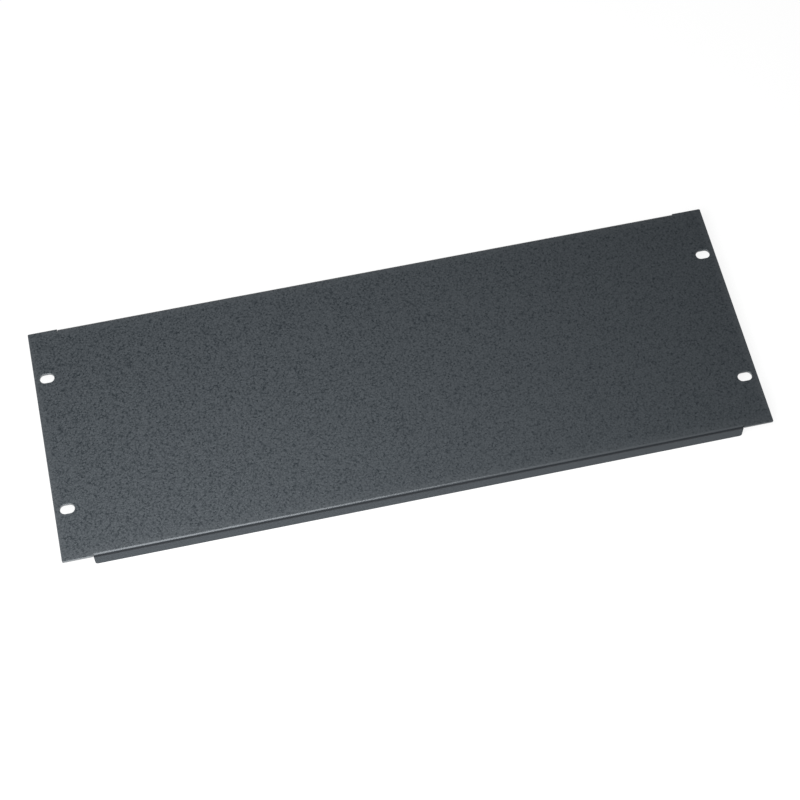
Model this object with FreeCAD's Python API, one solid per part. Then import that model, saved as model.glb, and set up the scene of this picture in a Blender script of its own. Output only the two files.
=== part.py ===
import FreeCAD, Part
import math
import os

# A blanking panel for a 19-inch rack: one sheet of steel, pierced at its four
# corners and folded back along its top and bottom edges.
# +X runs along the width, +Y up the rack and +Z out of the front. The origin
# is the middle of the slot pattern, on the rear face that meets the rack rails.

# The flat face
panel_width = 482.6
panel_height = 177.0
sheet_thickness = 1.5
panel_corner_radius = 1.0

# The stiffening flanges: each ends short of the panel's sides, which leaves
# the ears that lie on the rails
ear_width = 20.65
flange_depth = 12.7
flange_corner_radius = 2.0
inner_bend_radius = 0.5

# The slit at each end of a fold, which lets the flange turn without tearing
# the ear beside it
relief_width = 0.1
relief_past_bend = 0.6

# The mounting slots, measured from the panel's edges to their centres
slot_from_side = 8.75
slot_from_top = 37.7
slot_length = 9.8
slot_width = 6.8

# Rounding that the shear and the coat leave on the outside of every cut edge
cut_edge_radius = 0.5

# Overshoot of cutting tools past the faces that they cut
tool_margin = 1.0

# Half sizes and levels that follow
half_width = panel_width / 2
half_height = panel_height / 2
outer_bend_radius = inner_bend_radius + sheet_thickness
bend_line = half_height - outer_bend_radius
flange_half_length = half_width - ear_width
front_level = sheet_thickness
bend_axis_level = front_level - outer_bend_radius
flange_edge_level = front_level - flange_depth
fold_root = bend_line - relief_past_bend
slot_x = half_width - slot_from_side
slot_y = half_height - slot_from_top

ON_SURFACE = 1e-4


def vector(x, y, z):
    return FreeCAD.Vector(x, y, z)


def block(low, high):
    """Box between two corners."""
    size = high - low
    return Part.makeBox(size.x, size.y, size.z, low)


def turned(shape):
    """Copy of a shape turned half a turn about the panel's middle."""
    copy = shape.copy()
    copy.rotate(vector(0, 0, 0), vector(0, 0, 1), 180)
    return copy


def middle_of(edge):
    """Point halfway along an edge."""
    return edge.valueAt((edge.FirstParameter + edge.LastParameter) / 2)


def is_along(edge, direction):
    """True for a straight edge that is parallel to a direction."""
    first = edge.firstVertex().Point
    last = edge.lastVertex().Point
    sideways = (last - first).cross(direction).Length
    return sideways < ON_SURFACE < (last - first).Length


def mounting_slot(x, y):
    """Cutter for one slot, longer across the panel than up it."""
    end_radius = slot_width / 2
    reach = (slot_length - slot_width) / 2
    height = sheet_thickness + 2 * tool_margin
    middle = block(
        vector(x - reach, y - end_radius, -tool_margin),
        vector(x + reach, y + end_radius, height - tool_margin),
    )
    ends = []
    for end_x in (x - reach, x + reach):
        ends.append(Part.makeCylinder(end_radius, height, vector(end_x, y, -tool_margin)))
    return middle.fuse(ends).removeSplitter()


def pierced_sheet():
    """The flat sheet before it is notched: corners, slots and eased front edges."""
    sheet = block(
        vector(-half_width, -half_height, 0),
        vector(half_width, half_height, front_level),
    )
    corners = [edge for edge in sheet.Edges if is_along(edge, vector(0, 0, 1))]
    sheet = sheet.makeFillet(panel_corner_radius, corners)
    slots = [mounting_slot(x, y) for x in (-slot_x, slot_x) for y in (-slot_y, slot_y)]
    sheet = sheet.cut(slots)
    front_edges = []
    for edge in sheet.Edges:
        points = [vertex.Point for vertex in edge.Vertexes] + [middle_of(edge)]
        if all(abs(point.z - front_level) < ON_SURFACE for point in points):
            front_edges.append(edge)
    return sheet.makeFillet(cut_edge_radius, front_edges)


def face_blank():
    """The pierced sheet, cut back between its ears to where the flanges start."""
    fold_gap = block(
        vector(-flange_half_length - relief_width, fold_root, -tool_margin),
        vector(flange_half_length + relief_width, half_height + tool_margin, front_level + tool_margin),
    )
    return pierced_sheet().cut([fold_gap, turned(fold_gap)])


def bend_point(radius, turn):
    """Point of the fold's section, at an angle turned from the face."""
    y = bend_line + radius * math.sin(turn)
    z = bend_axis_level + radius * math.cos(turn)
    return vector(-flange_half_length, y, z)


def bend_arc(radius):
    """Quarter arc of the fold's section, from the face to the flange."""
    quarter = math.pi / 2
    points = [bend_point(radius, turn) for turn in (0, quarter / 2, quarter)]
    return Part.Arc(*points).toShape()


def fold_section():
    """Closed section of a fold, from its root in the face to the flange's edge."""
    outside = bend_arc(outer_bend_radius)
    inside = bend_arc(inner_bend_radius)
    to_root = vector(0, fold_root - bend_line, 0)
    to_foot = vector(0, 0, flange_edge_level - bend_axis_level)
    face_lines = Part.makePolygon([
        outside.firstVertex().Point,
        outside.firstVertex().Point + to_root,
        inside.firstVertex().Point + to_root,
        inside.firstVertex().Point,
    ])
    flange_lines = Part.makePolygon([
        outside.lastVertex().Point,
        outside.lastVertex().Point + to_foot,
        inside.lastVertex().Point + to_foot,
        inside.lastVertex().Point,
    ])
    loop = Part.sortEdges([outside, inside] + face_lines.Edges + flange_lines.Edges)[0]
    return Part.Face(Part.Wire(loop))


def is_on_outside(point):
    """True for a point on the outside of a fold: face, bend or flange."""
    past_bend_line = point.y - bend_line
    if past_bend_line <= ON_SURFACE:
        return abs(point.z - front_level) < ON_SURFACE
    if point.z <= bend_axis_level + ON_SURFACE:
        return abs(point.y - half_height) < ON_SURFACE
    from_axis = math.hypot(past_bend_line, point.z - bend_axis_level)
    return abs(from_axis - outer_bend_radius) < ON_SURFACE


def is_flange_rim(edge):
    """True for an edge round the flange's outside, down its ends or along its foot."""
    middle = middle_of(edge)
    is_at_foot = abs(middle.z - flange_edge_level) < ON_SURFACE
    return is_on_outside(middle) and (is_at_foot or not is_along(edge, vector(1, 0, 0)))


def folded_flange():
    """The upper flange with its bend: rear corners rounded, outside edges eased."""
    body = fold_section().extrude(vector(2 * flange_half_length, 0, 0))
    rear_corners = []
    for edge in body.Edges:
        is_at_foot = abs(middle_of(edge).z - flange_edge_level) < ON_SURFACE
        if is_at_foot and is_along(edge, vector(0, 1, 0)):
            rear_corners.append(edge)
    body = body.makeFillet(flange_corner_radius, rear_corners)
    return body.makeFillet(cut_edge_radius, [edge for edge in body.Edges if is_flange_rim(edge)])


def folded_panel():
    """The whole sheet: the face with its ears, and a flange folded from each long side."""
    flange = folded_flange()
    return face_blank().fuse([flange, turned(flange)]).removeSplitter()


def write_node(name, shape):
    """Check one solid and write its STEP file."""
    solids = shape.Solids
    assert shape.isValid() and len(solids) == 1, name
    solids[0].exportStep(os.path.join("parts", name + ".step"))
    print(name, "volume", round(shape.Volume), "mm3, faces", len(shape.Faces))


os.makedirs("parts", exist_ok=True)
write_node("panel", folded_panel())
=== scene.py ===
import math

import bpy
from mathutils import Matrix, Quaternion, Vector


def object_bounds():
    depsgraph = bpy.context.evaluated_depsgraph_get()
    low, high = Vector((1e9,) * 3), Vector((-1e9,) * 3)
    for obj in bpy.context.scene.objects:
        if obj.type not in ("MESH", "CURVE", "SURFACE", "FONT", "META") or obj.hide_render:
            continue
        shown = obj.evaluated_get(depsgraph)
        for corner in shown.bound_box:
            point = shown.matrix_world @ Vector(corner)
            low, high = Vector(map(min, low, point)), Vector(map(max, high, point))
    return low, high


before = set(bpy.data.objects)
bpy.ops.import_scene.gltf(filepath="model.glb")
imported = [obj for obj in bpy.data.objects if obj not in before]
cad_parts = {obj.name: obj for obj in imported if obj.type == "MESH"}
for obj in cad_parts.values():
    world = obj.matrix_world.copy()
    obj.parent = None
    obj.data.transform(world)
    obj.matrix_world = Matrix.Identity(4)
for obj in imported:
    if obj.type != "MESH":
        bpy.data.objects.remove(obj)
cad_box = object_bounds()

MM = 0.001
WHITE = (1, 1, 1, 1)

# The panel in the frame: X along its width, Y up the rack, Z out of its front
low_corner, high_corner = cad_box
FLOOR_LEVEL = low_corner.z
HALF_WIDTH = high_corner.x
HALF_HEIGHT = high_corner.y
FRONT = high_corner.z

# Its flanges: the ears that stand out past them, and the bend that they start with
EAR_WIDTH = 20.65 * MM
BEND_RADIUS = 2.0 * MM
FLANGE_HALF_LENGTH = HALF_WIDTH - EAR_WIDTH
BEND_LINE = HALF_HEIGHT - BEND_RADIUS

# The camera's aim point on the panel's face, and how it looks at it
AIM = Vector((-0.84 * MM, -18.06 * MM, FRONT))
AIM_DISTANCE = 1405.4 * MM
HEADING = math.radians(11.48)
DIP = math.radians(60.75)
ROLL = math.radians(-0.92)
LENS_MM = 93.29
SENSOR_MM = 36.0

# The coat's relief, from 0 in its deepest pits to 1 on its peaks: how large each
# kind of cell is, and how much it adds or takes away. The cells lie on a grid,
# which is turned away from the panel's own directions so that it doesn't show.
GRID_TURN = (0.5, 0.4, 0.6)
PEBBLE_SIZE = 1.4 * MM
PEBBLE_BLEND = 0.2
VALLEY_DEPTH = 0.75
GRAIN_SIZE = 0.7 * MM
GRAIN_BLEND = 0.2
GRAIN_HEIGHT = 0.38
PIT_SIZE = 1.0 * MM
PIT_BLEND = 0.15
PIT_DEPTH = 0.40
PIT_SHARE = 0.20
FULL_PIT_SHARE = 0.06
BASE_HEIGHT = 0.512
MIDDLE_HEIGHT = 0.5
RELIEF = 0.114 * MM

# How much of the texture is left at the panel's right end, which the photo shows
# softer, and how much of it is lost over the folds and the cut edges
RIGHT_END_TEXTURE = 0.68
TEXTURE_LOSS = 0.38

# The coat's colours. The last two stand for the photo's shade on the flanges and
# under the folds: they are painted on, and stay dark under any light.
PIT_COLOUR = (0.0177, 0.0237, 0.0288, 1)
PEAK_COLOUR = (0.0891, 0.1001, 0.1098, 1)
# A painted highlight colour, mixed in along the folds' crests and, as painted light, near the rim
PAINTED_LIGHT_COLOUR = (0.088, 0.097, 0.105, 1)
# A painted highlight on the cut edges, paler at the left end
CUT_EDGE_HIGHLIGHT_COLOUR = (0.155, 0.166, 0.174, 1)
FLANGE_COLOUR = (0.0350, 0.0435, 0.0515, 1)
DARK_BAND_COLOUR = (0.002, 0.004, 0.007, 1)

# How much of the painted highlight colour the coat takes on along the folds
FOLD_HIGHLIGHT_SHARE = 0.8

# The photo's light makes the coat look lighter towards the panel's rim, and the cut
# edges paler at the left end. Both are painted on by place, with these amounts.
SIDE_RIM_WIDTH = 6 * MM
SIDE_RIM_SHARE = 0.38
LONG_RIM_WIDTH = 9 * MM
LONG_RIM_END = 1.5 * MM
LONG_RIM_SHARE = 0.24
RIGHT_END_EDGE_SHARE = 0.3

# Its gloss
GLOSS_TINT = (0.90, 0.95, 1.0, 1)
REFRACTIVE_INDEX = 1.5
FACE_ROUGHNESS = 0.45
SMOOTH_GAIN = -0.21
FLANGE_GAIN = 0.45

# Where the colours change: past the bend line, and at these heights on the bend.
# A surface counts as a cut edge once its normal turns this far from Z.
CREST_RISE = 0.6 * MM
CREST_END = FRONT - 0.26 * MM
FLANGE_START = FRONT - 0.74 * MM
DARK_BAND_FADE = FRONT - 1.8 * MM
DARK_BAND_END = FRONT - 3.3 * MM
FLAT_NORMAL = 0.97
EDGE_NORMAL = 0.85

# The white surroundings
ROOM_HALF_WIDTH = 12.0
WALL_HEIGHT = 3.0
GLOW = 0.90
SHADOW_GREY = (0.20, 0.20, 0.20, 1)
FLOOR_COLOUR = (0.85, 0.85, 0.85, 1)
ROOM_LIGHT = 0.05


def link(thing):
    bpy.context.scene.collection.objects.link(thing)


def make_camera():
    """A camera that looks down on the panel from its front left."""
    forward = Vector((
        math.sin(HEADING) * math.cos(DIP),
        math.cos(HEADING) * math.cos(DIP),
        -math.sin(DIP),
    ))
    data = bpy.data.cameras.new("view")
    data.lens = LENS_MM
    data.sensor_width = SENSOR_MM
    camera = bpy.data.objects.new("view", data)
    link(camera)
    camera.location = AIM - forward * AIM_DISTANCE
    camera.rotation_mode = "QUATERNION"
    level = forward.to_track_quat("-Z", "Y")
    camera.rotation_quaternion = level @ Quaternion((0, 0, 1), ROLL)
    bpy.context.scene.camera = camera


class Nodes:
    """Short calls that add nodes to a material's or world's tree and join them."""

    def __init__(self, tree):
        self.tree = tree
        tree.nodes.clear()

    def add(self, kind, inputs=(), **settings):
        """Adds a node. An input is joined to an output, or set to a constant."""
        node = self.tree.nodes.new(kind)
        for name, value in settings.items():
            setattr(node, name, value)
        for name, value in inputs:
            socket = node.inputs[name]
            if isinstance(value, bpy.types.NodeSocket):
                self.tree.links.new(value, socket)
            else:
                socket.default_value = value
        return node

    def math(self, operation, first, second=0.0, third=0.0, clamp=False):
        values = enumerate((first, second, third))
        node = self.add("ShaderNodeMath", values, operation=operation, use_clamp=clamp)
        return node.outputs[0]

    def times(self, first, second):
        return self.math("MULTIPLY", first, second)

    def times_plus(self, first, second, third, clamp=False):
        return self.math("MULTIPLY_ADD", first, second, third, clamp)

    def size_of(self, value):
        return self.math("ABSOLUTE", value)

    def ramp(self, value, start, end, first=0.0, last=1.0):
        """Goes smoothly from one number to another as a value passes between two."""
        names = ("Value", "From Min", "From Max", "To Min", "To Max")
        inputs = zip(names, (value, start, end, first, last))
        kind = "ShaderNodeMapRange"
        return self.add(kind, inputs, clamp=True, interpolation_type="SMOOTHSTEP").outputs[0]

    def mix(self, share, first, second):
        """Mixes two colours. The node's sockets 6, 7 and 2 are the ones for colour."""
        inputs = ((0, share), (6, first), (7, second))
        return self.add("ShaderNodeMix", inputs, data_type="RGBA").outputs[2]

    def split(self, vector):
        node = self.add("ShaderNodeSeparateXYZ", [("Vector", vector)])
        return [node.outputs[axis] for axis in "XYZ"]

    def cells(self, place, size, blend):
        inputs = (("Vector", place), ("Scale", 1 / size), ("Smoothness", blend))
        return self.add("ShaderNodeTexVoronoi", inputs, feature="SMOOTH_F1")

    def pebbles(self, place, size, blend):
        """Distance from the middle of a cell, which is largest in the valleys between."""
        return self.cells(place, size, blend).outputs["Distance"]

    def grains(self, place, size, blend):
        """A random value for each cell, from 0 to 1, softly joined."""
        colour = self.cells(place, size, blend).outputs["Color"]
        return self.add("ShaderNodeSeparateColor", [("Color", colour)]).outputs[0]


def fold_masks(nodes, place):
    """How far a point is on a fold or its flange, on the flange, and in its dark band."""
    x, y, z = nodes.split(place)
    between_ears = nodes.math("LESS_THAN", nodes.size_of(x), FLANGE_HALF_LENGTH)
    past_bend_line = nodes.ramp(nodes.size_of(y), BEND_LINE, BEND_LINE + CREST_RISE)
    folded = nodes.times(past_bend_line, between_ears)
    on_flange = nodes.times(nodes.ramp(z, CREST_END, FLANGE_START), folded)
    in_band = nodes.times(on_flange, nodes.ramp(z, DARK_BAND_END, DARK_BAND_FADE))
    return folded, on_flange, in_band


def cut_edge_mask(nodes, normal, folded):
    """How far a point is on a cut edge, which faces sideways and isn't on a fold."""
    facing_front = nodes.size_of(nodes.split(normal)[2])
    sideways = nodes.ramp(facing_front, FLAT_NORMAL, EDGE_NORMAL)
    return nodes.times(sideways, nodes.math("SUBTRACT", 1.0, folded))


def from_left_end(nodes, place, right_end_value):
    """Goes from 1 at the panel's left end to a smaller value at its right end."""
    x = nodes.split(place)[0]
    return nodes.ramp(x, -HALF_WIDTH, HALF_WIDTH, 1.0, right_end_value)


def texture_strength(nodes, place, smooth):
    """Full at the panel's left end, and less to the right and where the coat is smooth."""
    left_over = nodes.math("SUBTRACT", 1.0, nodes.times(smooth, TEXTURE_LOSS))
    return nodes.times(from_left_end(nodes, place, RIGHT_END_TEXTURE), left_over)


def painted_rim_light(nodes, place):
    """How much of the painted highlight colour is mixed in near the sides, top and bottom, as painted
    light.
    """
    x, y, _ = nodes.split(place)
    side_start = HALF_WIDTH - SIDE_RIM_WIDTH
    long_start = HALF_HEIGHT - LONG_RIM_WIDTH
    long_end = HALF_HEIGHT - LONG_RIM_END
    side = nodes.ramp(nodes.size_of(x), side_start, HALF_WIDTH, 0.0, SIDE_RIM_SHARE)
    long = nodes.ramp(nodes.size_of(y), long_start, long_end, 0.0, LONG_RIM_SHARE)
    return nodes.math("MAXIMUM", side, long)


def coat_relief(nodes, place, strength):
    """Pebbles, with finer grains over them and a few deep pits."""
    turn = (("Vector", place), ("Rotation", GRID_TURN))
    askew = nodes.add("ShaderNodeMapping", turn).outputs["Vector"]
    pebbles = nodes.pebbles(askew, PEBBLE_SIZE, PEBBLE_BLEND)
    valleys = nodes.math("POWER", pebbles, 2.0)
    grains = nodes.grains(askew, GRAIN_SIZE, GRAIN_BLEND)
    pits = nodes.ramp(nodes.grains(askew, PIT_SIZE, PIT_BLEND), PIT_SHARE, FULL_PIT_SHARE)
    height = nodes.times_plus(grains, GRAIN_HEIGHT, BASE_HEIGHT)
    height = nodes.times_plus(valleys, -VALLEY_DEPTH, height)
    height = nodes.times_plus(pits, -PIT_DEPTH, height)
    above_middle = nodes.math("SUBTRACT", height, MIDDLE_HEIGHT)
    return nodes.times_plus(above_middle, strength, MIDDLE_HEIGHT, clamp=True)


def powder_coat(material):
    """Dark blue-grey powder coat with a fine pebbled texture."""
    nodes = Nodes(material.node_tree)
    coordinates = nodes.add("ShaderNodeTexCoord")
    place = coordinates.outputs["Object"]
    folded, on_flange, in_band = fold_masks(nodes, place)
    cut = cut_edge_mask(nodes, coordinates.outputs["Normal"], folded)
    smooth = nodes.math("MAXIMUM", folded, cut)
    strength = texture_strength(nodes, place, smooth)
    relief = coat_relief(nodes, place, strength)

    colour = nodes.mix(relief, PIT_COLOUR, PEAK_COLOUR)
    # Painted light near the rim
    colour = nodes.mix(painted_rim_light(nodes, place), colour, PAINTED_LIGHT_COLOUR)
    # A painted highlight along the folds
    colour = nodes.mix(nodes.times(folded, FOLD_HIGHLIGHT_SHARE), colour, PAINTED_LIGHT_COLOUR)
    # A painted highlight on the cut edges, fading towards the right end
    pale = nodes.times(cut, from_left_end(nodes, place, RIGHT_END_EDGE_SHARE))
    colour = nodes.mix(pale, colour, CUT_EDGE_HIGHLIGHT_COLOUR)
    # Painted shade on the flanges, and a darker painted shade band under the folds
    colour = nodes.mix(on_flange, colour, FLANGE_COLOUR)
    colour = nodes.mix(in_band, colour, DARK_BAND_COLOUR)

    roughness = nodes.times_plus(smooth, SMOOTH_GAIN, FACE_ROUGHNESS)
    roughness = nodes.times_plus(on_flange, FLANGE_GAIN, roughness)

    bump = nodes.add("ShaderNodeBump", (
        ("Strength", strength),
        ("Distance", RELIEF),
        ("Height", relief),
    ))
    shader = nodes.add("ShaderNodeBsdfPrincipled", (
        ("Base Color", colour),
        ("Metallic", 0.0),
        ("Roughness", roughness),
        ("IOR", REFRACTIVE_INDEX),
        ("Specular Tint", GLOSS_TINT),
        ("Normal", bump.outputs["Normal"]),
    ))
    nodes.add("ShaderNodeOutputMaterial", [("Surface", shader.outputs["BSDF"])])


def dress_panel():
    """Gives the frame's own panel its coat."""
    material = bpy.data.materials.new("powder_coat")
    material.use_nodes = True
    powder_coat(material)
    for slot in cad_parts["panel"].material_slots:
        slot.material = material


def seen_white(material):
    """White to the camera and to reflections, with the panel's shadow, and else pale."""
    nodes = Nodes(material.node_tree)
    ray = nodes.add("ShaderNodeLightPath").outputs
    seen = nodes.math("MAXIMUM", ray["Is Camera Ray"], ray["Is Glossy Ray"])
    seen = nodes.math("MAXIMUM", seen, ray["Is Transmission Ray"])
    pale = nodes.add("ShaderNodeBsdfDiffuse", [("Color", FLOOR_COLOUR)])
    glow = nodes.add("ShaderNodeEmission", (("Color", WHITE), ("Strength", GLOW)))
    shadowed = nodes.add("ShaderNodeBsdfDiffuse", [("Color", SHADOW_GREY)])
    white = nodes.add("ShaderNodeAddShader", enumerate((glow.outputs[0], shadowed.outputs[0])))
    either = enumerate((seen, pale.outputs[0], white.outputs[0]))
    surface = nodes.add("ShaderNodeMixShader", either)
    nodes.add("ShaderNodeOutputMaterial", [("Surface", surface.outputs[0])])


def make_floor():
    """A plain white floor that the panel lies on, with low white walls far round it."""
    half = ROOM_HALF_WIDTH
    corners = [(-half, -half), (half, -half), (half, half), (-half, half)]
    levels = (FLOOR_LEVEL, FLOOR_LEVEL + WALL_HEIGHT)
    points = [(x, y, z) for z in levels for x, y in corners]
    ground = (0, 1, 2, 3)
    walls = [(side, side + 4, (side + 1) % 4 + 4, (side + 1) % 4) for side in ground]
    mesh = bpy.data.meshes.new("floor")
    mesh.from_pydata(points, [], [ground] + walls)
    floor = bpy.data.objects.new("floor", mesh)
    link(floor)
    material = bpy.data.materials.new("floor")
    material.use_nodes = True
    seen_white(material)
    mesh.materials.append(material)


def make_softbox(name, place, aim, width, height, watts):
    """A rectangular lamp at one point, turned towards another."""
    data = bpy.data.lights.new(name, "AREA")
    data.shape = "RECTANGLE"
    data.size = width
    data.size_y = height
    data.energy = watts
    light = bpy.data.objects.new(name, data)
    link(light)
    light.location = place
    light.rotation_mode = "QUATERNION"
    light.rotation_quaternion = (Vector(aim) - Vector(place)).to_track_quat("-Z", "Y")


def light_studio():
    """A large soft lamp at the front left, a weak one at the rear, and a faint white room."""
    make_softbox(
        "key", place=(-0.257, -0.348, 0.525), aim=(-0.12, -0.08, 0), width=0.55, height=0.8, watts=8.0
    )
    make_softbox(
        "rear", place=(0.14, 0.75, 1.25), aim=(0, 0, 0), width=0.8, height=0.8, watts=0.3
    )
    world = bpy.data.worlds.new("room")
    bpy.context.scene.world = world
    world.use_nodes = True
    nodes = Nodes(world.node_tree)
    back = nodes.add("ShaderNodeBackground", (("Color", WHITE), ("Strength", ROOM_LIGHT)))
    nodes.add("ShaderNodeOutputWorld", [("Surface", back.outputs[0])])


bpy.context.scene.view_settings.view_transform = "Standard"
make_camera()
dress_panel()
make_floor()
light_studio()
